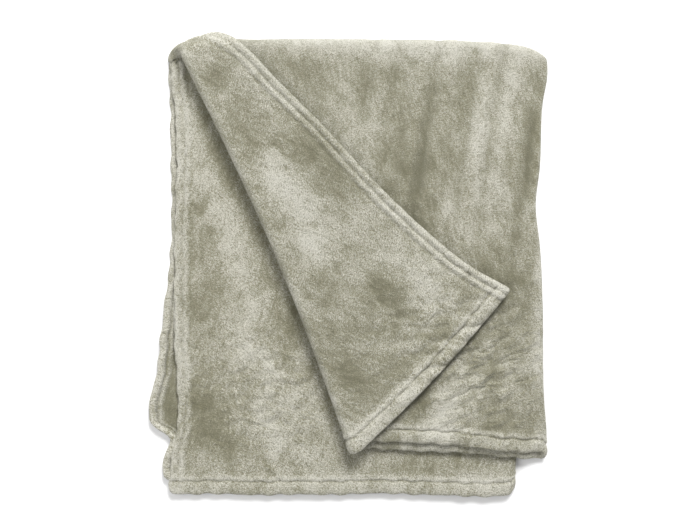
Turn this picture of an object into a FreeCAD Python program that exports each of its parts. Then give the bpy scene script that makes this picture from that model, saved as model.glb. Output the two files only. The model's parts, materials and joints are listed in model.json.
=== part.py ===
import FreeCAD, Part

import math
import os
import re

import Sketcher

# A plush throw, folded in half twice and laid flat, with its top left corner turned back.
# Frame: millimetres, X to the right, Y towards the top fold, Z up from the surface it lies on.
# Six cloth layers, counted upwards, lie one pitch apart: 0 and 1 are the back half,
# 2 and 3 the front half, and 4 and 5 the front half's turned corner.

DIMS = {
    # cloth and sewing
    "cloth": 6.0,
    "pitch": 10.0,
    "hem_width": 18.0,
    "hem_thick": 8.0,
    "hem_round": 2.5,
    "seam_gap": 1.8,
    "thread_dia": 1.0,
    "clear_gap": 0.4,
    # shared edges of the folded stack
    "fold_top": 368.5,
    "fold_right": 335.0,
    "left_edge": -305.0,
    # back half, whose side fold runs in towards the bottom
    "back_right_low": 278.0,
    "back_inner_bottom": -394.0,
    "back_outer_bottom": -370.0,
    # front half, whose hems dip to the right
    "front_outer_bottom": -303.0,
    "front_outer_dip": 17.0,
    "front_inner_bottom": -319.0,
    "front_inner_dip": 15.0,
    # loose left side of the lowest layer, bowed out into an ear
    "ear_start": 16.0,
    "ear_left": -343.1,
    "ear_low": -263.0,
    "ear_return": -288.0,
    "tuck_left": -315.0,
    # turned corner, measured as if it were laid open
    "crease_angle": 23.03,
    "crease_mid": -112.9,
    "corner_outer_left": -352.0,
    "corner_inner_left": -340.0,
    "corner_outer_bottom": -306.0,
    "corner_inner_bottom": -308.5,
    "corner_cut": 321.2,
}

doc = FreeCAD.newDocument("folded_throw")
sheet = doc.addObject("Spreadsheet::Sheet", "Dims")
for row, (alias, value) in enumerate(DIMS.items(), start=1):
    sheet.set(f"A{row}", alias)
    sheet.set(f"B{row}", str(value))
    sheet.setAlias(f"B{row}", alias)
doc.recompute()

ALIAS = re.compile(r"\b(" + "|".join(DIMS) + r")\b")
CREASE = math.radians(DIMS["crease_angle"])
LEVEL = {
    "back_outer": 0,
    "back_inner": 1,
    "front_inner": 2,
    "front_outer": 3,
}
nodes = []


def bound(text):
    """An expression with every dimension's name pointed at the sheet."""
    return ALIAS.sub(r"Dims.\1", text)


def crease_x(y):
    """X of the crease line at the height y, both as expressions."""
    return f"(crease_mid - ({y}) * tan(crease_angle * 1 deg))"


def mid_height(level):
    """Height of a layer's middle plane."""
    return DIMS["hem_thick"] / 2 + level * DIMS["pitch"]


def laid_back(placement):
    """The same placement turned half a turn about the crease, from laid open to turned back."""
    axis = FreeCAD.Vector(-math.sin(CREASE), math.cos(CREASE), 0)
    centre = FreeCAD.Vector(DIMS["crease_mid"], 0, mid_height(3.5))
    turn = FreeCAD.Placement(FreeCAD.Vector(), FreeCAD.Rotation(axis, 180), centre)
    return turn.multiply(placement)


def slab(label, corners, level, thickness, turned=False, rounding=None):
    """A flat body with the given outline, centred on a layer's middle plane."""
    body = doc.addObject("PartDesign::Body", label)
    body.Label = label
    plane = [f for f in body.Origin.OriginFeatures if f.Role == "XY_Plane"][0]
    sketch = body.newObject("Sketcher::SketchObject", f"{label}_outline")
    sketch.AttachmentSupport = [(plane, "")]
    sketch.MapMode = "FlatFace"
    lift = bound(f"hem_thick / 2 + {level} * pitch - {thickness} / 2")
    sketch.setExpression("AttachmentOffset.Base.z", lift)

    count = len(corners)
    start = [
        FreeCAD.Vector(100 * math.cos(2 * math.pi * i / count + 0.1),
                       100 * math.sin(2 * math.pi * i / count + 0.1), 0)
        for i in range(count)
    ]
    for i in range(count):
        sketch.addGeometry(Part.LineSegment(start[i], start[(i + 1) % count]))
    for i in range(count):
        sketch.addConstraint(Sketcher.Constraint("Coincident", i, 2, (i + 1) % count, 1))
    for i, (x, y) in enumerate(corners):
        for kind, value, text in (("DistanceX", start[i].x, x), ("DistanceY", start[i].y, y)):
            index = sketch.addConstraint(Sketcher.Constraint(kind, -1, 1, i, 1, value))
            sketch.setExpression(f"Constraints[{index}]", bound(text))

    pad = body.newObject("PartDesign::Pad", f"{label}_pad")
    pad.Profile = sketch
    pad.setExpression("Length", bound(thickness))
    doc.recompute()
    if rounding:
        edges = [f"Edge{i + 1}" for i in range(len(pad.Shape.Edges))]
        fillet = body.newObject("PartDesign::Fillet", f"{label}_rounding")
        fillet.Base = (pad, edges)
        fillet.setExpression("Radius", bound(rounding))
        pad.Visibility = False
    if turned:
        body.Placement = laid_back(body.Placement)
    nodes.append(body)
    return body


def panel(label, corners, level, turned=False):
    """One layer of the fleece between its folds and its hems."""
    return slab(label, corners, level, "cloth", turned)


def hem(label, corners, level, turned=False):
    """A turned and sewn edge, three plies of the fleece thick."""
    return slab(label, corners, level, "hem_thick", turned, "hem_round")


def stitching(label, runs, level, turned=False):
    """The sewing thread along the groove at a hem's inner side, one cylinder to a run."""
    cylinders = []
    for number, (start, end) in enumerate(runs):
        a = FreeCAD.Vector(*start, mid_height(level))
        b = FreeCAD.Vector(*end, mid_height(level))
        line = doc.addObject("Part::Cylinder", f"{label}_run_{number}")
        line.setExpression("Radius", bound("thread_dia / 2"))
        line.Height = (b - a).Length
        line.Placement = FreeCAD.Placement(a, FreeCAD.Rotation(FreeCAD.Vector(0, 0, 1), b - a))
        if turned:
            line.Placement = laid_back(line.Placement)
        cylinders.append(line)
    if len(cylinders) == 1:
        cylinders[0].Label = label
        nodes.append(cylinders[0])
        return
    joined = doc.addObject("Part::Compound", label)
    joined.Label = label
    joined.Links = cylinders
    nodes.append(joined)


def fold(label, start, end, level, gap_layers, outward):
    """The half round of cloth that joins two layers, gap_layers pitches apart, about one line."""
    a = FreeCAD.Vector(*start, mid_height(level))
    b = FreeCAD.Vector(*end, mid_height(level))
    along = (b - a).normalize()
    side = FreeCAD.Vector(*outward, 0)
    side = (side - along * side.dot(along)).normalize()
    place = FreeCAD.Placement(a, FreeCAD.Rotation(side.cross(along), side, along, "ZYX"))
    rounds = []
    for suffix, sign in (("outside", "+"), ("inside", "-")):
        part = doc.addObject("Part::Cylinder", f"{label}_{suffix}")
        part.setExpression("Radius", bound(f"{gap_layers} * pitch / 2 {sign} cloth / 2"))
        part.Height = (b - a).Length
        part.Angle = 180
        part.Placement = place
        rounds.append(part)
    cut = doc.addObject("Part::Cut", label)
    cut.Label = label
    cut.Base = rounds[0]
    cut.Tool = rounds[1]
    nodes.append(cut)
    return cut


def dims(*names):
    return [DIMS[name] for name in names]


# ---------------------------------------------------------------- the back half
back_slope = "((fold_right - back_right_low) / (fold_top - back_inner_bottom))"


def back_right(y):
    """X of the back half's slanting side fold at the height y, as an expression."""
    return f"(back_right_low + {back_slope} * ({y} - back_inner_bottom) - clear_gap)"


panel(
    "back_outer_panel",
    [
        ("left_edge + hem_width + seam_gap", "fold_top - clear_gap"),
        ("left_edge + hem_width + seam_gap", "ear_start"),
        ("ear_left + hem_width + seam_gap + 6", "ear_low + 14"),
        ("left_edge + hem_width", "ear_return + 20"),
        ("left_edge + hem_width", "ear_return - 14"),
        ("tuck_left + hem_width + seam_gap", "ear_return - 24"),
        ("tuck_left + hem_width + seam_gap", "back_outer_bottom + hem_width + seam_gap"),
        (back_right("back_outer_bottom"), "back_outer_bottom + hem_width + seam_gap"),
        (back_right("fold_top"), "fold_top - clear_gap"),
    ],
    0,
)
panel(
    "back_inner_panel",
    [
        ("left_edge + hem_width + seam_gap", "fold_top - clear_gap"),
        ("left_edge + hem_width + seam_gap", "back_inner_bottom + hem_width + seam_gap"),
        (back_right("back_inner_bottom"), "back_inner_bottom + hem_width + seam_gap"),
        (back_right("fold_top"), "fold_top - clear_gap"),
    ],
    1,
)
hem(
    "back_outer_side_hem",
    [
        ("left_edge", "fold_top - clear_gap"),
        ("left_edge", "ear_start"),
        ("ear_left", "ear_low"),
        ("ear_left + 8", "ear_low - 14"),
        ("left_edge - 4", "ear_return"),
        ("left_edge + 8", "ear_return + 14"),
        ("ear_left + hem_width", "ear_low + 6"),
        ("left_edge + hem_width", "ear_start"),
        ("left_edge + hem_width", "fold_top - clear_gap"),
    ],
    0,
)
hem(
    "tucked_corner_hem",
    [
        ("tuck_left + 6", "ear_return - 8"),
        ("tuck_left", "back_outer_bottom + 30"),
        ("tuck_left", "back_outer_bottom"),
        ("tuck_left + hem_width", "back_outer_bottom"),
        ("tuck_left + hem_width", "ear_return - 12"),
    ],
    0,
)
hem(
    "back_outer_bottom_hem",
    [
        ("tuck_left + hem_width + clear_gap", "back_outer_bottom"),
        (back_right("back_outer_bottom"), "back_outer_bottom"),
        (back_right("back_outer_bottom"), "back_outer_bottom + hem_width"),
        ("tuck_left + hem_width + clear_gap", "back_outer_bottom + hem_width"),
    ],
    0,
)
hem(
    "back_inner_side_hem",
    [
        ("left_edge", "fold_top - clear_gap"),
        ("left_edge", "back_inner_bottom"),
        ("left_edge + hem_width", "back_inner_bottom"),
        ("left_edge + hem_width", "fold_top - clear_gap"),
    ],
    1,
)
hem(
    "back_inner_bottom_hem",
    [
        ("left_edge + hem_width + clear_gap", "back_inner_bottom"),
        (back_right("back_inner_bottom"), "back_inner_bottom"),
        (back_right("back_inner_bottom"), "back_inner_bottom + hem_width"),
        ("left_edge + hem_width + clear_gap", "back_inner_bottom + hem_width"),
    ],
    1,
)

# ---------------------------------------------------------------- the front half
def front_edge(layer, inset):
    """The two ends of the front half's bottom edge, moved up by inset, as expressions."""
    low = f"front_{layer}_bottom + {inset}"
    left = f"({crease_x(low)} + clear_gap)"
    return (left, low), ("fold_right - clear_gap", f"{low} - front_{layer}_dip")


for layer in ("outer", "inner"):
    level = LEVEL[f"front_{layer}"]
    left, right = front_edge(layer, "hem_width + seam_gap")
    panel(
        f"front_{layer}_panel",
        [
            (f"{crease_x('fold_top')} + clear_gap", "fold_top - clear_gap"),
            left,
            right,
            ("fold_right - clear_gap", "fold_top - clear_gap"),
        ],
        level,
    )
    low_left, low_right = front_edge(layer, "0")
    high_left, high_right = front_edge(layer, "hem_width")
    hem(f"front_{layer}_bottom_hem", [low_left, low_right, high_right, high_left], level)

# ---------------------------------------------------------------- the turned corner
for layer in ("outer", "inner"):
    level = LEVEL[f"front_{layer}"]
    side = f"corner_{layer}_left"
    low = f"corner_{layer}_bottom"
    inset = f"{low} + hem_width + seam_gap"
    panel(
        f"corner_{layer}_panel",
        [
            (f"{side} + hem_width + seam_gap", inset),
            (f"{crease_x(inset)} - clear_gap", inset),
            (f"{crease_x('fold_top')} - clear_gap", "fold_top"),
            (f"{side} + hem_width + seam_gap", "corner_cut + 8"),
        ],
        level,
        turned=True,
    )
    hem(
        f"corner_{layer}_side_hem",
        [
            (side, low),
            (f"{side} + hem_width", low),
            (f"{side} + hem_width", "corner_cut + 7"),
            (side, "corner_cut"),
        ],
        level,
        turned=True,
    )
    band = f"{low} + hem_width"
    hem(
        f"corner_{layer}_bottom_hem",
        [
            (f"{side} + hem_width + clear_gap", low),
            (f"{crease_x(low)} - clear_gap", low),
            (f"{crease_x(band)} - clear_gap", band),
            (f"{side} + hem_width + clear_gap", band),
        ],
        level,
        turned=True,
    )

# ---------------------------------------------------------------- the folds
top, right, left_edge, gap = dims("fold_top", "fold_right", "left_edge", "clear_gap")
back_low, back_right_low = dims("back_inner_bottom", "back_right_low")
slant = math.hypot(right - back_right_low, top - back_low)
slant_in = (right - back_right_low) / slant
front_low = DIMS["front_outer_bottom"] - DIMS["front_outer_dip"]

fold("top_fold_outer", (left_edge, top), (right - gap, top), 1.5, 3, (0, 1))
fold("top_fold_inner", (left_edge, top), (right - gap, top), 1.5, 1, (0, 1))
fold("side_fold_front", (right, front_low), (right, top - gap), 2.5, 1, (1, 0))
fold("side_fold_back", (back_right_low, back_low), (right - 2 * gap * slant_in, top - 2 * gap),
     0.5, 1, (1, 0))

# The side fold's own turn round the top fold is half of a half round ring.
ring_place = FreeCAD.Placement(
    FreeCAD.Vector(right, top, mid_height(1.5)),
    FreeCAD.Rotation(FreeCAD.Vector(0, 0, 1), FreeCAD.Vector(1, 0, 0)),
)
rings = []
for suffix, sign in (("outside", "+"), ("inside", "-")):
    ring = doc.addObject("Part::Torus", f"side_fold_turn_{suffix}")
    ring.setExpression("Radius1", bound("pitch"))
    ring.setExpression("Radius2", bound(f"pitch / 2 {sign} cloth / 2"))
    ring.Placement = ring_place
    rings.append(ring)
hollow_ring = doc.addObject("Part::Cut", "side_fold_turn_ring")
hollow_ring.Base = rings[0]
hollow_ring.Tool = rings[1]
keep = doc.addObject("Part::Box", "side_fold_turn_keep")
for side in ("Length", "Width"):
    keep.setExpression(side, bound("2 * pitch"))
keep.setExpression("Height", bound("4 * pitch"))
keep.Placement.Base = FreeCAD.Vector(right, top, mid_height(1.5) - 2 * DIMS["pitch"])
side_turn = doc.addObject("Part::Common", "side_fold_turn")
side_turn.Label = "side_fold_turn"
side_turn.Base = hollow_ring
side_turn.Tool = keep
nodes.append(side_turn)

crease_out = (-math.cos(CREASE), -math.sin(CREASE))


def on_crease(y):
    """A point of the crease line, as numbers."""
    return (DIMS["crease_mid"] - y * math.tan(CREASE), y)


crease_low = on_crease(DIMS["front_outer_bottom"])
crease_high = on_crease(top - gap)
fold("corner_crease_inner", crease_low, crease_high, 3.5, 1, crease_out)
fold("corner_crease_outer", crease_low, crease_high, 3.5, 3, crease_out)

# ---------------------------------------------------------------- the sewing thread
seam = DIMS["hem_width"] + DIMS["seam_gap"] / 2
end_gap = 3.0
back_side = DIMS["left_edge"] + seam

stitching("back_inner_side_stitching",
          [((back_side, back_low + seam), (back_side, top - end_gap))], 1)
stitching("back_inner_bottom_stitching",
          [((back_side + end_gap, back_low + seam), (back_right_low - end_gap, back_low + seam))], 1)
stitching("back_outer_side_stitching",
          [((back_side, DIMS["ear_start"] + end_gap), (back_side, top - end_gap))], 0)
tuck = DIMS["back_outer_bottom"] + seam
stitching("back_outer_bottom_stitching",
          [((back_side, tuck), (back_right_low - end_gap, tuck))], 0)

for layer in ("outer", "inner"):
    level = LEVEL[f"front_{layer}"]
    low, dip = dims(f"front_{layer}_bottom", f"front_{layer}_dip")
    start_x, start_y = on_crease(low + seam)
    stitching(f"front_{layer}_bottom_stitching",
              [((start_x + end_gap, start_y - 0.01 * dip), (right - end_gap, low + seam - dip))],
              level)
    side, low = dims(f"corner_{layer}_left", f"corner_{layer}_bottom")
    end_x = on_crease(low + seam)[0]
    stitching(f"corner_{layer}_stitching",
              [((side + seam, low + seam), (side + seam, DIMS["corner_cut"])),
               ((side + seam + end_gap, low + seam), (end_x - end_gap, low + seam))],
              level, turned=True)

# ---------------------------------------------------------------- check and write
doc.recompute()
for item in doc.Objects:
    if "Invalid" in item.State or "Error" in item.State:
        raise RuntimeError(f"{item.Label} did not compute: {item.State}")
for node in nodes:
    if node.Shape.isNull() or not node.Shape.isValid():
        raise RuntimeError(f"{node.Label} has no valid shape")

os.makedirs("parts", exist_ok=True)
whole = FreeCAD.BoundBox()
for node in nodes:
    node.Shape.exportStep(f"parts/{node.Label}.step")
    whole.add(node.Shape.BoundBox)
print(f"{len(nodes)} sub-parts, volume {sum(n.Shape.Volume for n in nodes) / 1e6:.2f} litres")
print(f"X {whole.XMin:.2f} {whole.XMax:.2f}  Y {whole.YMin:.2f} {whole.YMax:.2f}  "
      f"Z {whole.ZMin:.2f} {whole.ZMax:.2f}")
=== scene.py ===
"""A plush throw, folded in half twice and laid flat, with its top left corner turned back.

The cloth is worked out in three coordinates: x across, s along the cloth past the top fold's
line (negative on the front half), and n, the height above the top fold's axis. bend() wraps
them round the top fold. Six layers share them: the back half, the front half and the corner.
"""
import json
import math

import bpy
import numpy as np
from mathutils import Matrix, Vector


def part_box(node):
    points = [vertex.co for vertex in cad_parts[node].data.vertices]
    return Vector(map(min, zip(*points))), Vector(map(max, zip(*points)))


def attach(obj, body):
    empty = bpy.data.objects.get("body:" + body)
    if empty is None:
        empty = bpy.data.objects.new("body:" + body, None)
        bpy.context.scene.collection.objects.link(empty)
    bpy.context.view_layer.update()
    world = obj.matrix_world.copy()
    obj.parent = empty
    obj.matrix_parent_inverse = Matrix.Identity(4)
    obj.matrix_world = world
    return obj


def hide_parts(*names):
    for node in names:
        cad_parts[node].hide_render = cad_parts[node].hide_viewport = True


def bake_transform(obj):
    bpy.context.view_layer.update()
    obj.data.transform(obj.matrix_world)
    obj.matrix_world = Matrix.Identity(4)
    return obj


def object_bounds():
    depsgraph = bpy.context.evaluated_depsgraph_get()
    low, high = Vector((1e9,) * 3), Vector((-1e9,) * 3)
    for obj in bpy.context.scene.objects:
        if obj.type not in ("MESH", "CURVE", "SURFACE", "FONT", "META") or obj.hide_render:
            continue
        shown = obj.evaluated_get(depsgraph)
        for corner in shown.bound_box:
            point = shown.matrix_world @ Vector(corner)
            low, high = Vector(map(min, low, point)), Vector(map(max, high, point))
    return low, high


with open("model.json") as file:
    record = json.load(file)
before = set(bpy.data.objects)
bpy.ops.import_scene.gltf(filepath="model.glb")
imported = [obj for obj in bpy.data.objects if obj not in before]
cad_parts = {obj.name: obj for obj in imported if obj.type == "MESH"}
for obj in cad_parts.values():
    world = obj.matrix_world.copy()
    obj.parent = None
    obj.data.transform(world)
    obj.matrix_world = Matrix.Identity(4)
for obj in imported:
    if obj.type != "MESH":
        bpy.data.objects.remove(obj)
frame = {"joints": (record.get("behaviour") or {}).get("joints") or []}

CAD_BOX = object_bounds()
MM = 0.001


def middle_height(node):
    low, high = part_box(node)
    return (low[2] + high[2]) / 2


# ---------------------------------------------------------------- sizes from the frame
FOLD_AXIS_Z = middle_height("top_fold_outer")
N_OUTER = middle_height("front_outer_panel") - FOLD_AXIS_Z
N_INNER = middle_height("front_inner_panel") - FOLD_AXIS_Z
HINGE = frame["joints"][0]
HINGE_POINT = np.array(HINGE["pos_m"], float)
HINGE_AXIS = np.array(HINGE["axis"], float)
UP_CREASE = -HINGE_AXIS[:2]                                # towards the top fold
OUT_CREASE = np.array([-UP_CREASE[1], UP_CREASE[0]])       # out of the fold, to the left
N_HINGE = HINGE_POINT[2] - FOLD_AXIS_Z
BOTTOM = CAD_BOX[0][1]

# ---------------------------------------------------------------- the cloth
HALF_THICK = 3.3 * MM
EDGE_ROUND = 5.5 * MM
THIN_EDGE = 0.7 * MM
STEP = 6 * MM
SIDE_ROLL = (N_OUTER - N_INNER) / 2
BEND_LENGTH = 20 * MM                                      # cloth to a radian of the top fold
FRONT_LENGTH = 0.673
HEM_STEPS = np.array([0, 0.6, 1.6, 3.2, 5.2, 7.5, 9.8, 12, 13.4, 14.8, 16.4, 18, 19.4, 20.6,
                      21.6, 22.6, 24, 26, 28, 30.5, 34, 39]) * MM
END_GROOVE = 21.6 * MM                                     # sewn groove of an end hem

# Outlines: points that smooth() joins with one curve.
FOLD_LINE = [(-0.315, 0.341), (-0.285, 0.353), (-0.245, 0.366), (-0.150, 0.3695),
             (0.050, 0.3690), (0.226, 0.3655), (0.284, 0.3605), (0.322, 0.350), (0.345, 0.335)]
FRONT_RIGHT = [(-0.330, 0.3325), (-0.290, 0.3335), (-0.230, 0.3285), (-0.060, 0.3250),
               (0.030, 0.3200), (0.094, 0.3125), (0.165, 0.3195), (0.280, 0.3255),
               (0.333, 0.3335), (0.370, 0.3320)]
BACK_RIGHT = [(BOTTOM, 0.2775), (-0.200, 0.2920), (0.050, 0.3080), (0.300, 0.3250),
              (0.370, 0.3320)]
OUTER_FRONT_HEM = [(0.000, -0.3000), (0.092, -0.3025), (0.200, -0.3090), (0.267, -0.3170),
                   (0.345, -0.3205)]
INNER_FRONT_HEM = [(0.000, -0.3125), (0.146, -0.3200), (0.212, -0.3225), (0.280, -0.3290),
                   (0.345, -0.3330)]
OUTER_BACK_HEM = [(-0.330, -0.3690), (0.000, -0.3715), (0.300, -0.3700)]
INNER_BACK_HEM = [(-0.320, -0.3925), (-0.100, -0.3945), (0.100, -0.3930), (0.235, -0.3970),
                  (0.290, -0.3940)]
OUTER_BACK_LEFT = [(-0.385, -0.3150), (-0.368, -0.3150), (-0.335, -0.3190), (-0.296, -0.3085),
                   (-0.284, -0.3200), (-0.272, -0.3370), (-0.258, -0.3425), (-0.200, -0.3320),
                   (-0.081, -0.3180), (0.016, -0.3070), (0.200, -0.3060), (0.300, -0.3080),
                   (0.370, -0.3130)]
INNER_BACK_LEFT = [(-0.400, -0.3065), (-0.339, -0.3060), (-0.290, -0.2960), (-0.229, -0.2925),
                   (-0.157, -0.2975), (0.000, -0.2985), (0.270, -0.2985), (0.340, -0.3070),
                   (0.370, -0.3120)]
# The turned corner's side hem, from the corner up: cloth length, x, y; then it wraps over.
CORNER_HEM = [(0.000, 0.2765, -0.0400), (0.077, 0.2070, -0.0010), (0.187, 0.1210, 0.0690),
              (0.306, 0.0360, 0.1520), (0.427, -0.0460, 0.2410), (0.542, -0.1275, 0.3220),
              (0.602, -0.1670, 0.3640), (0.640, -0.1970, 0.3860), (FRONT_LENGTH, -0.2290, 0.3990),
              (0.700, -0.2620, 0.4040), (0.726, -0.2955, 0.4010)]
CREASE_BOW = 16 * MM
CREASE_SHIFT = 28 * MM                                     # the crease's end, to the left
SPLIT_BELOW = 10 * MM                                      # from the top fold to the split row
CORNER_WIDTH = 0.370
CORNER_BOW = 8 * MM
EAR_RISE = 8 * MM
HEM_GAP = 1.2 * MM
APEX = 0.726


def smooth(points, at, column=1):
    """A smooth curve through listed points, read off at the given places."""
    table = np.array(sorted(points), float)
    x, y = table[:, 0], table[:, column]
    slope = np.gradient(y, x)
    at = np.clip(at, x[0], x[-1])
    i = np.clip(np.searchsorted(x, at, side="right") - 1, 0, len(x) - 2)
    span = x[i + 1] - x[i]
    t = (at - x[i]) / span
    return ((2 * t**3 - 3 * t**2 + 1) * y[i] + (t**3 - 2 * t**2 + t) * span * slope[i]
            + (3 * t**2 - 2 * t**3) * y[i + 1] + (t**3 - t**2) * span * slope[i + 1])


def ease(t):
    """From 0 to 1 as t does, with soft ends."""
    t = np.clip(t, 0, 1)
    return t * t * (3 - 2 * t)


def waves(x, y, lengths, seed, angle=None, spread=math.pi):
    """Seeded smooth noise of about unit height: cosines of the given wavelengths."""
    draw = np.random.default_rng(seed)
    total = np.zeros_like(x)
    for length in lengths:
        turn = draw.uniform(-spread, spread) / 2 + (draw.uniform(0, math.pi) if angle is None
                                                    else angle)
        k = 2 * math.pi / (length * draw.uniform(0.8, 1.25))
        total += np.cos(k * (x * math.cos(turn) + y * math.sin(turn)) + draw.uniform(0, 6.28))
    return total / math.sqrt(len(lengths) / 2)


# ---------------------------------------------------------------- from the cloth to space
def fold_reach(n):
    """How far the cloth at height n stands out past the fold line at the top."""
    free = N_OUTER + HALF_THICK
    return np.where(n < free, n, free + (n - free) * 0.42)


def bend(x, s, n):
    """Wraps x, s, n round the top fold."""
    line = smooth(FOLD_LINE, x)
    turn = np.clip(s / BEND_LENGTH, 0, math.pi)
    past = np.clip(s - math.pi * BEND_LENGTH, 0, None)
    y = line + np.minimum(s, 0) + fold_reach(n) * np.sin(turn) - past
    z = FOLD_AXIS_Z + n * np.cos(turn)
    return np.stack([x, y, z], axis=-1)


def along_front(x, v, hem):
    """Y at the cloth length v above the front hem, in the column at x."""
    up = np.clip(v / FRONT_LENGTH, 0, 1)
    return wavering(smooth(hem, x), x, len(hem)) * (1 - up) + smooth(FOLD_LINE, x) * up


def crease_line(y):
    """X of the crease at y, a little bowed."""
    straight = HINGE_POINT[0] + (y - HINGE_POINT[1]) * UP_CREASE[0] / UP_CREASE[1]
    return straight + CREASE_BOW * np.sin(math.pi * np.clip((y + 0.31) / 0.67, 0, 1))


def crease_point(v, hem):
    """The crease at the cloth length v above the front hem: x and y, counting cloth past
    the top fold's line as more y."""
    x = np.full_like(v, -0.12)
    for _ in range(30):
        x = crease_line(along_front(x, v, hem))
    over = np.clip(v - FRONT_LENGTH, 0, None)
    x = x - CREASE_SHIFT * ease(over / 0.05)
    return x, np.where(over > 0, smooth(FOLD_LINE, x) + over, along_front(x, v, hem))


def rounded_corner(a, b, radius=8 * MM):
    """Two edge distances, remapped so that the corner where both are 0 is round."""
    p, q = np.clip(radius - a, 0, None), np.clip(radius - b, 0, None)
    size = np.hypot(p, q)
    factor = np.where(size > 0, np.maximum(p, q) / np.maximum(size, 1e-9), 1)
    return np.where((p > 0) & (q > 0), radius - p * factor, a), \
        np.where((p > 0) & (q > 0), radius - q * factor, b)


# ---------------------------------------------------------------- hems and wrinkles
def bump(d, centre, width):
    """A smooth hump of height 1."""
    return np.exp(-(((d - centre) / width) ** 2))


def rounded(d):
    """The share of the full thickness at the distance d from a rounded edge."""
    t = np.clip(d / EDGE_ROUND, 0, 1)
    return np.sqrt(1 - (1 - t) ** 2)


def side_hem(d, along):
    """Extra half thickness of a side hem: two soft ridges with a sewn groove between."""
    pucker = 1 + 0.16 * np.sin(along / (7 * MM) + 2 * np.sin(along / 0.043))
    return (2.2 * MM * pucker * bump(d, 6.5 * MM, 4.8 * MM) - 2.4 * MM * bump(d, 13.6 * MM, 2.0 * MM)
            + 1.9 * MM * bump(d, 20 * MM, 4.0 * MM) - 1.7 * MM * bump(d, 27.5 * MM, 2.8 * MM))


def end_hem(d, along):
    """Extra half thickness of an end hem: one full band, its sewn groove and a puffed ridge."""
    pucker = 1 + 0.25 * np.sin(along / (9 * MM) + 2.5 * np.sin(along / 0.057))
    return (2.0 * MM * bump(d, 10.5 * MM, 8.5 * MM) - 2.1 * MM * bump(d, END_GROOVE, 2.0 * MM)
            + 1.3 * MM * pucker * bump(d, 27.5 * MM, 4.2 * MM))


def puckers(d_side, d_end, hemmed=1.0):
    """How near the cloth is to a sewn groove, from 0 to 1."""
    return np.maximum(hemmed * bump(d_side, 14 * MM, 9 * MM), bump(d_end, END_GROOVE, 9 * MM))


def pale_rim(d_side, d_end, hemmed=1.0):
    """Painted highlight and shade along the hems: paler on the ridges, darker in the sewn grooves and just
    inside the side hem.
    """
    side = (0.6 * bump(d_side, 4 * MM, 6 * MM) - 0.3 * bump(d_side, 13.6 * MM, 2.4 * MM)
            + 0.4 * bump(d_side, 20 * MM, 4 * MM) - 0.2 * bump(d_side, 28 * MM, 3 * MM))
    end = (0.6 * bump(d_end, 7 * MM, 10 * MM) - 0.5 * bump(d_end, END_GROOVE, 2.4 * MM)
           + 0.6 * bump(d_end, 28 * MM, 4 * MM))
    return hemmed * side + end


def both_hems(side, end):
    """Extra half thickness where a side hem and an end hem cross, less than their sum."""
    return side + end - 0.8 * np.clip(np.minimum(side, end), 0, None)


def wavering(values, along, seed, size=0.9 * MM):
    """An edge that isn't quite straight."""
    return values + size * waves(along, 0 * along, [0.031, 0.047, 0.075], seed)


def ripples(x, y):
    """Long upright ripples on the right, strongest near the top fold."""
    where = ease((x + 0.05) / 0.2) * (0.35 + 0.65 * ease((y + 0.1) / 0.3))
    return where * waves(x, y, [0.055, 0.042, 0.070], 11, angle=0.0, spread=0.35)


def shared_wrinkles(x, y):
    """Soft hills of the whole stack, the same for every layer so that none cuts another."""
    broad = 1.1 * waves(x, y, [0.23, 0.31, 0.19, 0.27], 5)
    dents = waves(x, y, [0.027, 0.022, 0.033, 0.024], 17, angle=2.1, spread=1.0)
    low_right = np.exp(-((x - 0.20) / 0.13) ** 2 - ((y + 0.16) / 0.13) ** 2)
    low_left = np.exp(-((x + 0.16) / 0.10) ** 2 - ((y + 0.20) / 0.09) ** 2)
    return (broad + 1.8 * ripples(x, y) + dents * (2.1 * low_right + 2.8 * low_left)) * MM


def own_wrinkles(x, y, seed, strength):
    """Slight hills of one layer alone."""
    return strength * MM * waves(x, y, [0.10, 0.075, 0.13, 0.06], seed)


# ---------------------------------------------------------------- grids of cloth
def spaced(first, last, step):
    count = max(1, int(round((last - first) / step)))
    return list(np.linspace(first, last, count + 1)[1:])


FRONT_ROWS = list(HEM_STEPS) + spaced(HEM_STEPS[-1], FRONT_LENGTH, STEP)
WRAP_ROWS = spaced(FRONT_LENGTH, APEX, 4 * MM)
FOLD_LENGTH = math.pi * BEND_LENGTH
BACK_LENGTH = 0.745
BACK_EAR = (0.605, 0.665)


def base_rows():
    """Cloth lengths from the front hem over the top fold to the back hem."""
    start = FRONT_LENGTH + FOLD_LENGTH
    end = start + BACK_LENGTH
    rows = FRONT_ROWS + WRAP_ROWS + spaced(APEX, start, 4 * MM)
    rows += spaced(start, start + BACK_EAR[0], STEP)
    rows += spaced(start + BACK_EAR[0], start + BACK_EAR[1], 3 * MM)
    rows += spaced(start + BACK_EAR[1], end - HEM_STEPS[-1], STEP)
    return np.array(rows + [end - d for d in HEM_STEPS[-2::-1]])


ROWS = base_rows()
CREASE_ROWS = len(FRONT_ROWS) + len(WRAP_ROWS)
HALF_WIDTH = 0.640
COLUMNS = np.array(list(HEM_STEPS) + spaced(HEM_STEPS[-1], HALF_WIDTH, STEP)) / HALF_WIDTH


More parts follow.
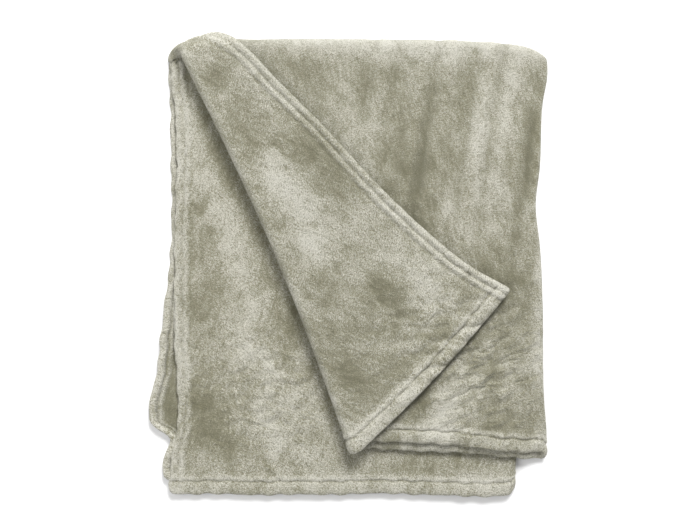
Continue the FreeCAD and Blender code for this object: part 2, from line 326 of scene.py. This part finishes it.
def base_layer(n, front_hem, back_hem, back_left, seed, strength):
    """One half of the cloth, front and back, as x, s, n, half thickness, u and v."""
    v = np.repeat(ROWS[:, None], len(COLUMNS), axis=1)
    share = np.repeat(COLUMNS[None, :], len(ROWS), axis=0)
    end = ROWS[-1]
    back = np.clip((ROWS - FRONT_LENGTH - FOLD_LENGTH) / BACK_LENGTH, 0, 1)
    on_back = v > FRONT_LENGTH + FOLD_LENGTH / 2

    # the left edge: the crease on the front, the hem on the back
    left_crease, _ = crease_point(ROWS, front_hem)
    top_left = smooth(FOLD_LINE, -0.31)
    left_y = top_left + back * (smooth(back_hem, -0.31) - top_left)
    left_back = wavering(smooth(back_left, left_y), left_y, seed)
    to_back = ease((ROWS - FRONT_LENGTH - 0.3 * FOLD_LENGTH) / (0.7 * FOLD_LENGTH))
    left = left_crease * (1 - to_back) + left_back * to_back

    # the right edge, where the side fold starts
    low, low_back, top = smooth(front_hem, 0.33), smooth(back_hem, 0.28), smooth(FOLD_LINE, 0.33)
    right_y = low + (top - low) * np.clip(ROWS / FRONT_LENGTH, 0, 1)
    right = np.where(back > 0, smooth(BACK_RIGHT, top + back * (low_back - top)),
                     smooth(FRONT_RIGHT, right_y))

    width = (right - left)[:, None]
    d_left, d_end = share * width, np.where(on_back, end - v, v)
    d_side, d_low = rounded_corner(d_left, d_end)
    d_side, d_low = np.where(on_back, d_side, d_left), np.where(on_back, d_low, d_end)
    x = left[:, None] + d_side
    line = smooth(FOLD_LINE, x)
    back_share = np.clip((end - d_low - FRONT_LENGTH - FOLD_LENGTH) / BACK_LENGTH, 0, 1)
    end_y = wavering(smooth(back_hem, x), x, seed + 1)
    s = np.where(on_back, FOLD_LENGTH + (line - end_y) * back_share,
                 along_front(x, v, front_hem) - line)
    over_fold = (v > FRONT_LENGTH) & (v < FRONT_LENGTH + FOLD_LENGTH)
    s = np.where(over_fold, v - FRONT_LENGTH, s)

    hemmed = to_back[:, None]
    half = HALF_THICK + both_hems(hemmed * side_hem(d_left, s), end_hem(d_end, x))
    half = half * rounded(d_end) * (1 - hemmed + hemmed * rounded(d_left))
    n_grid = lifted(x, s, np.full_like(x, n), seed, strength)
    parted = HEM_GAP if n > N_INNER + MM else 0
    n_grid = n_grid + parted * np.where(on_back, 0, ease(1 - v / (50 * MM)))
    if n > N_INNER + MM:
        loose = ease((0.0 - left_y) / 0.12)[:, None] * hemmed
        n_grid = n_grid - EAR_RISE * loose * bump(d_left, 5 * MM, 9 * MM)
    return dict(x=x, s=s, n=n_grid, u=x + 0.34, v=v, half=np.maximum(half, THIN_EDGE),
                hem=puckers(d_left, d_end, hemmed), rim=pale_rim(d_left, d_end, hemmed))


def side_fold(outer, inner):
    """The half round from the outer layer's right edge to the inner layer's."""
    turn = np.linspace(0, math.pi, 10)[None, 1:]
    share = turn / math.pi
    edge = {key: outer[key][:, -1:] * (1 - share) + inner[key][:, -1:] * share
            for key in ("x", "s", "half", "hem", "rim")}
    middle = (outer["n"][:, -1:] + inner["n"][:, -1:]) / 2
    radius = (outer["n"][:, -1:] - inner["n"][:, -1:]) / 2
    bulge = 0.9 * SIDE_ROLL * np.sin(turn)
    return dict(x=edge["x"] + bulge, s=edge["s"], half=edge["half"], hem=edge["hem"],
                rim=edge["rim"], n=middle + radius * np.cos(turn), u=outer["u"][:, -1:] + SIDE_ROLL * turn,
                v=outer["v"][:, -1:] + 0 * turn)


def lifted(x, s, n, seed, strength):
    """Adds the wrinkles, and lets the front half sag where the back half isn't under it."""
    y = smooth(FOLD_LINE, x) + np.minimum(s, 0)
    front = 1 - ease((s / FOLD_LENGTH - 0.1) / 0.8)
    calm = (1 - 0.6 * bump(s, FOLD_LENGTH / 2, 0.03)) * ease(
        np.abs(x - crease_line(y)) / (60 * MM))
    hills = front * calm * (shared_wrinkles(x, y) + own_wrinkles(x, y, seed, strength))
    over = x - smooth(BACK_RIGHT, y) - 6 * MM
    sag = 15 * MM * ease(over / 0.060) * ease(-(s + 0.02) / 0.2)
    down = smooth(FOLD_LINE, x) - (s - FOLD_LENGTH)
    under = (s > FOLD_LENGTH) & (n < N_OUTER - 3 * MM)
    return n + hills - sag - np.where(under, 0.6 * shared_wrinkles(x, down) * ease(
        (s - FOLD_LENGTH) / 0.05), 0)


def corner_layer(n, hem, inset, seed, strength):
    """The turned corner of one layer from its side hem to the crease, and its crease roll."""
    v = np.array(FRONT_ROWS + WRAP_ROWS)
    crease_px, crease_py = (a[:, None] for a in crease_point(v, hem))
    tip_y, lowest = smooth(hem, 0.02), smooth(INNER_FRONT_HEM, 0.02)
    lift = (tip_y - lowest) * np.clip(1 - v / FRONT_LENGTH, 0, 1)
    inner_columns = np.array(spaced(HEM_STEPS[-1], CORNER_WIDTH, STEP))

    def side_point(length):
        return smooth(CORNER_HEM, length, 1), smooth(CORNER_HEM, length, 2)

    hem_x, hem_y = side_point((v + lift)[:, None])
    length = np.hypot(hem_x - crease_px, hem_y - crease_py) - inset
    near = HEM_STEPS[None, :] * np.minimum(1, length / (HEM_STEPS[-1] * 1.6))
    rest = (inner_columns[None, :] - HEM_STEPS[-1]) / (CORNER_WIDTH - HEM_STEPS[-1])
    d = np.hstack([near, near[:, -1:] + (length - near[:, -1:]) * rest])
    v_grid = np.repeat(v[:, None], d.shape[1], axis=1)
    d_side, v_low = rounded_corner(d, v_grid)
    hem_x, hem_y = side_point(v_low + lift[:, None])
    share = np.clip((d_side + inset) / (length + inset), 0, 1)
    swell = CORNER_BOW * np.sin(math.pi * share) * np.clip(1 - v_grid / 0.5, 0, 1)
    x = hem_x + (crease_px - hem_x) * share - UP_HEM[0] * swell
    y = hem_y + (crease_py - hem_y) * share - UP_HEM[1] * swell

    half = HALF_THICK + both_hems(side_hem(d, v_grid), end_hem(v_grid, d))
    half = half * rounded(v_grid) * rounded(d)
    above = 2 * N_HINGE - n
    s = y - smooth(FOLD_LINE, x)
    flat = dict(x=x, s=s, n=lifted(x, s, np.full_like(x, above), seed, strength), u=-d, v=v_grid,
                half=np.maximum(half, THIN_EDGE), hem=puckers(d, v_grid),
                rim=pale_rim(d, v_grid))

    radius = N_HINGE - n
    turn = np.linspace(math.pi, 0, 5 if radius < 8 * MM else 15)[None, 1:-1]
    x = crease_px + OUT_CREASE[0] * radius * np.sin(turn)
    y = crease_py + OUT_CREASE[1] * radius * np.sin(turn)
    s = y - smooth(FOLD_LINE, x)
    half = HALF_THICK + end_hem(v[:, None], 0.0) + 0 * x
    roll = dict(x=x, s=s, n=lifted(x, s, N_HINGE - radius * np.cos(turn) + 0 * x, seed, strength),
                u=-length - radius * (math.pi - turn), v=v[:, None] + 0 * x,
                half=np.maximum(half * rounded(v[:, None]), THIN_EDGE),
                hem=puckers(1.0, v[:, None] + 0 * x), rim=pale_rim(1.0, v[:, None] + 0 * x))
    return flat, roll


# ---------------------------------------------------------------- meshes
def joined(parts, rows=None):
    rows = rows or len(parts[0]["x"])
    return {key: np.hstack([part[key][:rows] for part in parts]) for key in parts[0]}


def grid_normals(points):
    across = np.gradient(points, axis=1)
    up = np.gradient(points, axis=0)
    normal = np.cross(across, up)
    return normal / np.maximum(np.linalg.norm(normal, axis=-1, keepdims=True), 1e-12)


def nap_and_painted_light(patches, x, y):
    """How pale the cloth is painted, from listed patches: x, y, radii, angle, strength. Most are the
    pile's own pale and dark patches; a few are painted highlight, shade and shadow.
    """
    total = np.zeros_like(x)
    for px, py, long, short, angle, strength in patches:
        cos, sin = math.cos(math.radians(angle)), math.sin(math.radians(angle))
        across, along = x / MM - px, y / MM - py
        reach = ((across * cos + along * sin) / long) ** 2 + ((along * cos - across * sin) / short) ** 2
        total += strength * np.exp(-reach)
    return total


def surfaces(cloth, patches):
    """The cloth's two faces in space, wrapped round the top fold, with their normals. The paleness it
    hands on adds painted highlight and shade to the pile's patches: paler hem ridges, darker sewn grooves,
    and pale and dark bands on the ripples' slopes.
    """
    middle = bend(cloth["x"], cloth["s"], cloth["n"])
    normal = grid_normals(middle)
    offset = normal * cloth["half"][..., None]
    near, far = middle + offset, middle - offset
    for face in (near, far):
        face[..., 2] = np.maximum(face[..., 2], 0.4 * MM)
    x, y = middle[..., 0], middle[..., 1]
    crinkled = (np.exp(-((x - 0.22) / 0.12) ** 2 - ((y + 0.17) / 0.13) ** 2)
                + 0.6 * np.exp(-((x + 0.13) / 0.14) ** 2 - ((y + 0.24) / 0.11) ** 2) + 0.15)
    return dict(middle=middle, near=near, far=far, near_normal=grid_normals(near),
                far_normal=-grid_normals(far), u=cloth["u"], v=cloth["v"], half=cloth["half"],
                # painted shade: hem ridges paler and grooves darker (rim), and pale and dark bands on the
                # ripples' slopes (0.15 * ripples)
                nap_and_painted_light=nap_and_painted_light(patches, x, y) + cloth["rim"] + 0.15 * ripples(x, y),
                crinkled=crinkled, hem=cloth["hem"])


def new_piece(name, points, faces, normals=None):
    mesh = bpy.data.meshes.new(name)
    mesh.from_pydata(points.tolist(), [], faces)
    mesh.update()
    mesh.shade_smooth()
    if normals is not None:
        mesh.normals_split_custom_set_from_vertices(normals.tolist())
    piece = bpy.data.objects.new(name, mesh)
    bpy.context.scene.collection.objects.link(piece)
    pieces[name] = piece
    return piece


def cloth_piece(name, grid, rows=slice(None), columns=slice(None)):
    """One closed piece of the cloth, cut from a grid by its rows and columns."""
    cut = {key: value[rows, columns] for key, value in grid.items()}
    high, wide = cut["u"].shape
    index = np.arange(high * wide).reshape(high, wide)
    quads = np.stack([index[:-1, :-1], index[:-1, 1:], index[1:, 1:], index[1:, :-1]],
                     axis=-1).reshape(-1, 4)
    under = quads[:, ::-1] + high * wide
    loop = np.concatenate([index[0, :], index[1:, -1], index[-1, -2::-1], index[-2:0:-1, 0]])
    following = np.roll(loop, -1)
    rim = np.stack([loop, loop + high * wide, following + high * wide, following], axis=-1)
    points, normals = (np.concatenate([cut[a].reshape(-1, 3), cut[b].reshape(-1, 3)])
                       for a, b in (("near", "far"), ("near_normal", "far_normal")))
    faces = np.concatenate([quads, under, rim]).tolist()
    piece = new_piece(name, points, faces, normals)
    place = np.stack([cut["u"], cut["v"], 0 * cut["u"]], axis=-1).reshape(-1, 3)
    places = np.concatenate([place, place + np.array([0, 0, 0.37])])
    look = np.stack([cut["nap_and_painted_light"], cut["crinkled"], cut["hem"]], axis=-1).reshape(-1, 3)
    for key, values in (("cloth_place", places), ("cloth_look", np.concatenate([look, look]))):
        attribute = piece.data.attributes.new(key, "FLOAT_VECTOR", "POINT")
        attribute.data.foreach_set("vector", values.astype(np.float32).ravel())
    return piece


def sewn(name, runs):
    """Sewing thread: a thin tube that dips in and out of both faces of the cloth.

    Each run is a line over the grid, as its middle points, its normals and half thickness."""
    points, faces = [], []
    ring = np.linspace(0, 2 * math.pi, 7)[:-1]
    for middle, normal, half in runs:
        reach = np.concatenate([[0], np.cumsum(np.linalg.norm(np.diff(middle, axis=0), axis=1))])
        steps = np.arange(0, reach[-1], 1.1 * MM)
        path = np.stack([np.interp(steps, reach, middle[:, i]) for i in range(3)], axis=-1)
        up = np.stack([np.interp(steps, reach, normal[:, i]) for i in range(3)], axis=-1)
        rise = np.interp(steps, reach, half) * np.sin(steps * 2 * math.pi / STITCH)
        path = path + up * rise[:, None]
        along = np.gradient(path, axis=0)
        along /= np.linalg.norm(along, axis=1, keepdims=True)
        side = np.cross(along, up)
        side /= np.linalg.norm(side, axis=1, keepdims=True)
        top = np.cross(side, along)
        tube = path[:, None] + THREAD_RADIUS * (np.cos(ring)[None, :, None] * side[:, None]
                                                + np.sin(ring)[None, :, None] * top[:, None])
        first = sum(len(block) for block in points)
        index = first + np.arange(len(path) * 6).reshape(-1, 6)
        turned = np.roll(index, -1, axis=1)
        faces += np.stack([index[:-1], turned[:-1], turned[1:], index[1:]],
                          axis=-1).reshape(-1, 4).tolist()
        faces += [index[0, ::-1].tolist(), index[-1].tolist()]
        points.append(tube.reshape(-1, 3))
    return new_piece(name, np.concatenate(points), faces)


def row_run(grid, v, columns=slice(None)):
    """A line across the grid at the cloth length v."""
    at = np.interp(v, ROWS[:len(grid["v"])], np.arange(len(grid["v"])))
    low = int(at)
    share = at - low
    keys = ("middle", "near_normal", "half")
    return [(grid[key][low] * (1 - share) + grid[key][low + 1] * share)[columns] for key in keys]


def column_run(grid, column, rows=slice(None)):
    """A line up the grid, along one of its columns."""
    return [grid[key][rows, column] for key in ("middle", "near_normal", "half")]


UP_HEM = np.array([-0.725, 0.690])                         # along the turned corner's side hem

# Where the pile lies pale or dark, with some painted highlight, shade and shadow among them: x, y, two
# radii (mm), angle, strength.
# The first entry is a painted highlight: a long pale strip along the roll of the top fold.
FRONT_PILE_AND_PAINTED_LIGHT = [(110, 376, 240, 25, -2, 1.4), (-107, 345, 70, 34, -30, -0.6),
             (119, 171, 75, 42, 80, -0.7), (221, 179, 95, 13, 86, 0.6),
             (267, 264, 110, 13, 80, 0.7), (306, 196, 90, 12, 88, -0.7),
             # 105, 86 is painted shade: a dark strip on the front half just beside the turned corner's
             #                           side hem.
             (105, 86, 60, 34, -40, -0.6), (173, 111, 70, 12, 80, 0.5),
             (168, -240, 46, 26, 72, 1.2), (128, -229, 48, 18, 66, -1.0),
             (258, -263, 50, 30, 0, -0.5), (250, -59, 90, 60, 90, -0.35),
             (322, -110, 150, 9, 90, 0.7), (-309, -190, 100, 13, 93, -1.0)]
# The first entry is a painted shadow: a dark strip just left of the crease, where the turned corner's
# shadow falls on the back half.
BACK_PILE_AND_PAINTED_SHADOW = [(-226, 196, 120, 14, -66, -0.8), (-214, 86, 62, 22, -75, 1.0),
            (-175, -42, 60, 20, -65, 0.5), (-146, -169, 78, 28, -60, 1.0),
            (-257, -237, 45, 45, 0, -0.8), (-243, -76, 60, 25, 90, -0.5),
            (-99, -322, 60, 20, -20, 0.5), (207, -365, 36, 18, 0, 0.6),
            (-184, -314, 50, 22, 0, -0.5), (-269, 247, 70, 15, 90, 0.6)]
FLAP_NAP = [(-222, 322, 26, 18, -50, -0.6), (-262, 360, 40, 16, 20, 0.5), (-107, 137, 78, 24, -52, 1.1),
            (-73, 52, 52, 18, -60, 0.8), (-175, 213, 56, 16, -62, -0.6),
            (-31, 179, 72, 22, -46, -0.6), (12, -212, 45, 40, 0, -0.7),
            (139, -59, 60, 30, -40, 0.4), (63, -42, 50, 30, -40, -0.4),
            (-31, -225, 55, 12, -66, 0.5)]

outer = base_layer(N_OUTER, OUTER_FRONT_HEM, OUTER_BACK_HEM, OUTER_BACK_LEFT, 21, 0.45)
inner = base_layer(N_INNER, INNER_FRONT_HEM, INNER_BACK_HEM, INNER_BACK_LEFT, 22, 0.45)
outer_side = joined([outer, side_fold(outer, inner)])
outer_corner, outer_roll = corner_layer(N_OUTER, OUTER_FRONT_HEM, 4 * MM, 21, 0.45)
inner_corner, inner_roll = corner_layer(N_INNER, INNER_FRONT_HEM, 0.0, 22, 0.45)

pieces = {}
STITCH = 5 * MM
THREAD_RADIUS = 0.45 * MM
GROOVE = 13.4 * MM
SPLIT_ROW = int(np.searchsorted(ROWS, FRONT_LENGTH - SPLIT_BELOW))
GROOVE_COLUMN = int(np.searchsorted(HEM_STEPS, GROOVE - 0.1 * MM))
BACK_START = int(np.searchsorted(ROWS, FRONT_LENGTH + FOLD_LENGTH))
for label, base, corner, roll, patches in (
        ("outer", outer_side, outer_corner, outer_roll, FRONT_PILE_AND_PAINTED_LIGHT),
        ("inner", inner, inner_corner, inner_roll, BACK_PILE_AND_PAINTED_SHADOW)):
    turned = surfaces(joined([corner, roll, base], CREASE_ROWS), FLAP_NAP)
    corner_wide = corner["x"].shape[1]
    roll_end = corner_wide + roll["x"].shape[1]
    grid = surfaces(base, patches)
    for key in ("near", "far", "near_normal", "far_normal"):
        grid[key][:CREASE_ROWS - 1, 0] = turned[key][:CREASE_ROWS - 1, roll_end]
    low, high = slice(0, SPLIT_ROW + 1), slice(SPLIT_ROW, CREASE_ROWS)
    cloth_piece(f"{label}_half", grid)
    cloth_piece(f"{label}_crease", turned, low, slice(corner_wide - 1, roll_end + 1))
    cloth_piece(f"{label}_corner", turned, low, slice(0, corner_wide))
    cloth_piece(f"{label}_wrap", turned, high, slice(0, roll_end + 1))
    sewn(f"front_{label}_thread", [row_run(grid, END_GROOVE)])
    sewn(f"back_{label}_bottom_thread", [row_run(grid, ROWS[-1] - END_GROOVE)])
    sewn(f"back_{label}_side_thread", [column_run(grid, GROOVE_COLUMN, slice(BACK_START, -12))])
    sewn(f"corner_{label}_thread", [
        row_run(turned, END_GROOVE, slice(0, corner_wide)),
        column_run(turned, GROOVE_COLUMN, slice(12, SPLIT_ROW + 1))])


def blend_crease(piece):
    """Bakes a crease piece's transform into its mesh."""
    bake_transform(piece)


def blend_wrap(piece):
    """Bakes a wrap piece's transform into its mesh; the split point it works out goes unused."""
    split_x, split_y = crease_point(np.array([ROWS[SPLIT_ROW]]), INNER_FRONT_HEM)
    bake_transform(piece)


for label, n in (("outer", N_OUTER), ("inner", N_INNER)):
    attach(pieces[f"{label}_half"], "folded_stack")
    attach(pieces[f"{label}_corner"], "turned_corner")
    blend_crease(pieces[f"{label}_crease"])
    blend_wrap(pieces[f"{label}_wrap"])

# ---------------------------------------------------------------- what stands for what
ROOT_OUTER = ["front_outer_panel", "front_outer_bottom_hem", "back_outer_panel",
              "back_outer_side_hem", "tucked_corner_hem", "back_outer_bottom_hem",
              "top_fold_outer", "side_fold_front", "side_fold_back", "side_fold_turn"]
ROOT_INNER = ["front_inner_panel", "front_inner_bottom_hem", "back_inner_panel",
              "back_inner_side_hem", "back_inner_bottom_hem", "top_fold_inner"]
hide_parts(*ROOT_OUTER)
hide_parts(*ROOT_INNER)
for label in ("outer", "inner"):
    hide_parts(f"corner_crease_{label}")
    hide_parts(f"corner_{label}_panel", f"corner_{label}_side_hem",
                f"corner_{label}_bottom_hem")
for label in ("outer", "inner"):
    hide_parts(f"front_{label}_bottom_stitching")
    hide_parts(f"back_{label}_bottom_stitching")
    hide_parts(f"back_{label}_side_stitching")
    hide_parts(f"corner_{label}_stitching")
    for name in ("front_{}_thread", "back_{}_bottom_thread", "back_{}_side_thread"):
        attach(pieces[name.format(label)], "folded_stack")
    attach(pieces[f"corner_{label}_thread"], "turned_corner")
THREADS = [piece for name, piece in pieces.items() if name.endswith("thread")]
CLOTH = [piece for name, piece in pieces.items() if not name.endswith("thread")]


# ---------------------------------------------------------------- looks
def material(name):
    made = bpy.data.materials.new(name)
    made.use_nodes = True
    made.node_tree.nodes.clear()
    return made, made.node_tree.nodes, made.node_tree.links


def plush():
    """Brushed plush pile: pale and dark patches where the nap lies each way, over fine fur, with painted
    highlight and shade laid in on the top fold, the hem ridges and grooves, the ripples, and beside the
    crease and the turned corner's hem.
    """
    made, nodes, links = material("plush_pile")
    out = nodes.new("ShaderNodeOutputMaterial")
    shader = nodes.new("ShaderNodeBsdfPrincipled")
    links.new(shader.outputs[0], out.inputs[0])
    place = nodes.new("ShaderNodeAttribute")
    place.attribute_name = "cloth_place"
    look = nodes.new("ShaderNodeAttribute")
    look.attribute_name = "cloth_look"
    channels = nodes.new("ShaderNodeSeparateXYZ")
    links.new(look.outputs["Vector"], channels.inputs[0])
    pile_lie_and_painted_light, crinkled, hem = channels.outputs

    def noise(scale, detail, rough, long=1.0, turn=0.0, distort=0.0):
        """Noise whose marks are longer one way: turn is that way's angle from across."""
        mapping = nodes.new("ShaderNodeMapping")
        mapping.vector_type = "TEXTURE"
        mapping.inputs["Scale"].default_value = (long, 1 / long, 1)
        mapping.inputs["Rotation"].default_value = (0, 0, turn)
        links.new(place.outputs["Vector"], mapping.inputs["Vector"])
        texture = nodes.new("ShaderNodeTexNoise")
        texture.inputs["Scale"].default_value = scale
        texture.inputs["Detail"].default_value = detail
        texture.inputs["Roughness"].default_value = rough
        texture.inputs["Distortion"].default_value = distort
        links.new(mapping.outputs[0], texture.inputs["Vector"])
        return calc("SUBTRACT", texture.outputs["Fac"], 0.5)

    def calc(kind, *values):
        node = nodes.new("ShaderNodeMath")
        node.operation = kind
        for socket, value in zip(node.inputs, values):
            if isinstance(value, (int, float)):
                socket.default_value = value
            else:
                links.new(value, socket)
        return node.outputs[0]

    def total(*terms):
        result = 0.0
        for value, weight in terms:
            result = calc("MULTIPLY_ADD", value, weight, result)
        return result

    broad = noise(7, 2, 0.5, 1.1, 1.9, 0.3)
    patches = noise(24, 4, 0.62, 1.25, 1.9, 0.5)
    mottle = noise(55, 4, 0.65, 1.2, 1.1, 0.9)
    streaks = noise(95, 3, 0.65, 1.6, 1.8, 0.2)
    tufts = noise(300, 2, 0.75, 1.3, 0.5)
    fur = noise(760, 2, 0.8, 1.4, 0.7)
    folds = noise(40, 2, 0.45, 1.5, 0.55, 0.7)

    # The first term brings in painted highlight and shade from the cloth (top fold, hem ridges and
    # grooves, ripples, crease shadow); the hem term paints the hem bands paler, a painted highlight.
    swept = total((pile_lie_and_painted_light, 0.28), (broad, 0.65), (patches, 0.75), (mottle, 0.35), (streaks, 0.45),
                  (calc("MULTIPLY", pile_lie_and_painted_light, mottle), 0.7), (hem, 0.16))
    grain = total((tufts, 0.9), (fur, 2.0))
    pale = total((calc("MULTIPLY", grain, calc("MAXIMUM", calc("ADD", swept, 0.6), 0.3)), 1.8),
                 (swept, 1.0))
    ramp = nodes.new("ShaderNodeValToRGB")
    stops = [(0.18, (0.170, 0.160, 0.093, 1)), (0.42, (0.297, 0.283, 0.193, 1)),
             (0.58, (0.407, 0.390, 0.294, 1)), (0.82, (0.698, 0.680, 0.596, 1))]
    while len(ramp.color_ramp.elements) < len(stops):
        ramp.color_ramp.elements.new(0.5)
    for element, (position, colour) in zip(ramp.color_ramp.elements, stops):
        element.position = position
        element.color = colour
    links.new(calc("ADD", pale, 0.5), ramp.inputs[0])
    links.new(ramp.outputs[0], shader.inputs["Base Color"])
    shader.inputs["Roughness"].default_value = 0.9
    shader.inputs["Specular IOR Level"].default_value = 0.12
    shader.inputs["Sheen Weight"].default_value = 0.45
    shader.inputs["Sheen Roughness"].default_value = 0.5
    shader.inputs["Sheen Tint"].default_value = (0.93, 0.93, 0.86, 1)

    relief = total((patches, 1.6), (streaks, 1.6), (tufts, 2.2), (fur, 2.2),
                   (calc("MULTIPLY", folds, crinkled), 12.0),
                   (calc("MULTIPLY", noise(130, 2, 0.5), hem), 3.5))
    bumps = nodes.new("ShaderNodeBump")
    bumps.inputs["Strength"].default_value = 1.0
    bumps.inputs["Distance"].default_value = 1.8 * MM
    links.new(relief, bumps.inputs["Height"])
    links.new(bumps.outputs[0], shader.inputs["Normal"])
    return made


PLUSH = plush()
for piece in CLOTH:
    piece.data.materials.append(PLUSH)


def thread_material():
    made, nodes, links = material("sewing_thread")
    out = nodes.new("ShaderNodeOutputMaterial")
    shader = nodes.new("ShaderNodeBsdfPrincipled")
    shader.inputs["Base Color"].default_value = (0.36, 0.345, 0.26, 1)
    shader.inputs["Roughness"].default_value = 0.7
    links.new(shader.outputs[0], out.inputs[0])
    return made


THREAD = thread_material()
for piece in THREADS:
    piece.data.materials.append(THREAD)

# ---------------------------------------------------------------- floor, light and camera
def floor():
    mesh = bpy.data.meshes.new("floor")
    size = 6.0
    mesh.from_pydata([(-size, -size, 0), (size, -size, 0), (size, size, 0), (-size, size, 0)],
                     [], [(0, 1, 2, 3)])
    plane = bpy.data.objects.new("floor", mesh)
    bpy.context.scene.collection.objects.link(plane)
    made, nodes, links = material("pale_floor")
    out = nodes.new("ShaderNodeOutputMaterial")
    shader = nodes.new("ShaderNodeBsdfPrincipled")
    shader.inputs["Base Color"].default_value = (0.90, 0.90, 0.90, 1)
    shader.inputs["Roughness"].default_value = 0.9
    links.new(shader.outputs[0], out.inputs[0])
    mesh.materials.append(made)


floor()


def area_light(name, place, size, power, colour=(1, 1, 1)):
    light = bpy.data.lights.new(name, "AREA")
    light.shape = "DISK"
    light.size = size
    light.energy = power
    light.color = colour
    lamp = bpy.data.objects.new(name, light)
    lamp.location = place
    aim = -np.array(place, float)
    lamp.rotation_euler = Vector(aim).to_track_quat("-Z", "Y").to_euler()
    bpy.context.scene.collection.objects.link(lamp)


area_light("key", (1.30, 4.30, 4.60), 2.8, 536)
area_light("fill", (-1.8, -0.3, 2.4), 2.5, 39)
world = bpy.data.worlds.new("studio")
world.use_nodes = True
world.node_tree.nodes["Background"].inputs["Color"].default_value = (1, 1, 1, 1)
world.node_tree.nodes["Background"].inputs["Strength"].default_value = 0.42
bpy.context.scene.world = world

camera_data = bpy.data.cameras.new("camera")
camera_data.lens = 70
camera_data.sensor_width = 36
camera = bpy.data.objects.new("camera", camera_data)
camera.location = (0.0034, 0.0051, 2.355)
bpy.context.scene.collection.objects.link(camera)
bpy.context.scene.camera = camera
bpy.context.scene.view_settings.view_transform = "Standard"

# ---------------------------------------------------------------- cloth facts
# Flat sizes follow from where the cloth is cut into pieces, not from the shaped meshes: half
# of a 1.30 by 1.50 m throw, shared out at the crease and at the split row.
HALF_THROW = (0.65, 1.50)


def strip_area(lengths, widths):
    """Area of flat cloth, from its width at each length along the side hem."""
    return float(np.sum(np.diff(lengths) * (widths[1:] + widths[:-1]) / 2))


def flat_sizes(n, hem):
    """Flat width, length and area of the corner, the crease and the wrap, as they are cut."""
    v = ROWS[:CREASE_ROWS]
    crease_x, crease_y = crease_point(v, hem)
    widths = np.hypot(smooth(CORNER_HEM, v, 1) - crease_x, smooth(CORNER_HEM, v, 2) - crease_y)
    below, above = slice(0, SPLIT_ROW + 1), slice(SPLIT_ROW, CREASE_ROWS)
    crease_wide = math.pi * (N_HINGE - n) + STEP
    crease_long = float(np.sum(np.hypot(np.diff(crease_x[below]), np.diff(crease_y[below]))))
    wrap_long = float(v[-1] - v[SPLIT_ROW])
    wrap_area = strip_area(v[above], widths[above]) + crease_wide * wrap_long
    return {"corner": (float(widths[0]), float(v[SPLIT_ROW]), strip_area(v[below], widths[below])),
            "crease": (crease_long, crease_wide, crease_long * crease_wide),
            "wrap": (float(widths[SPLIT_ROW]) + crease_wide, wrap_long, wrap_area)}


for label, n, hem in (("outer", N_OUTER, OUTER_FRONT_HEM), ("inner", N_INNER, INNER_FRONT_HEM)):
    rest = HALF_THROW[0] * HALF_THROW[1]
    for part, (wide, long, area) in flat_sizes(n, hem).items():
        rest -= area
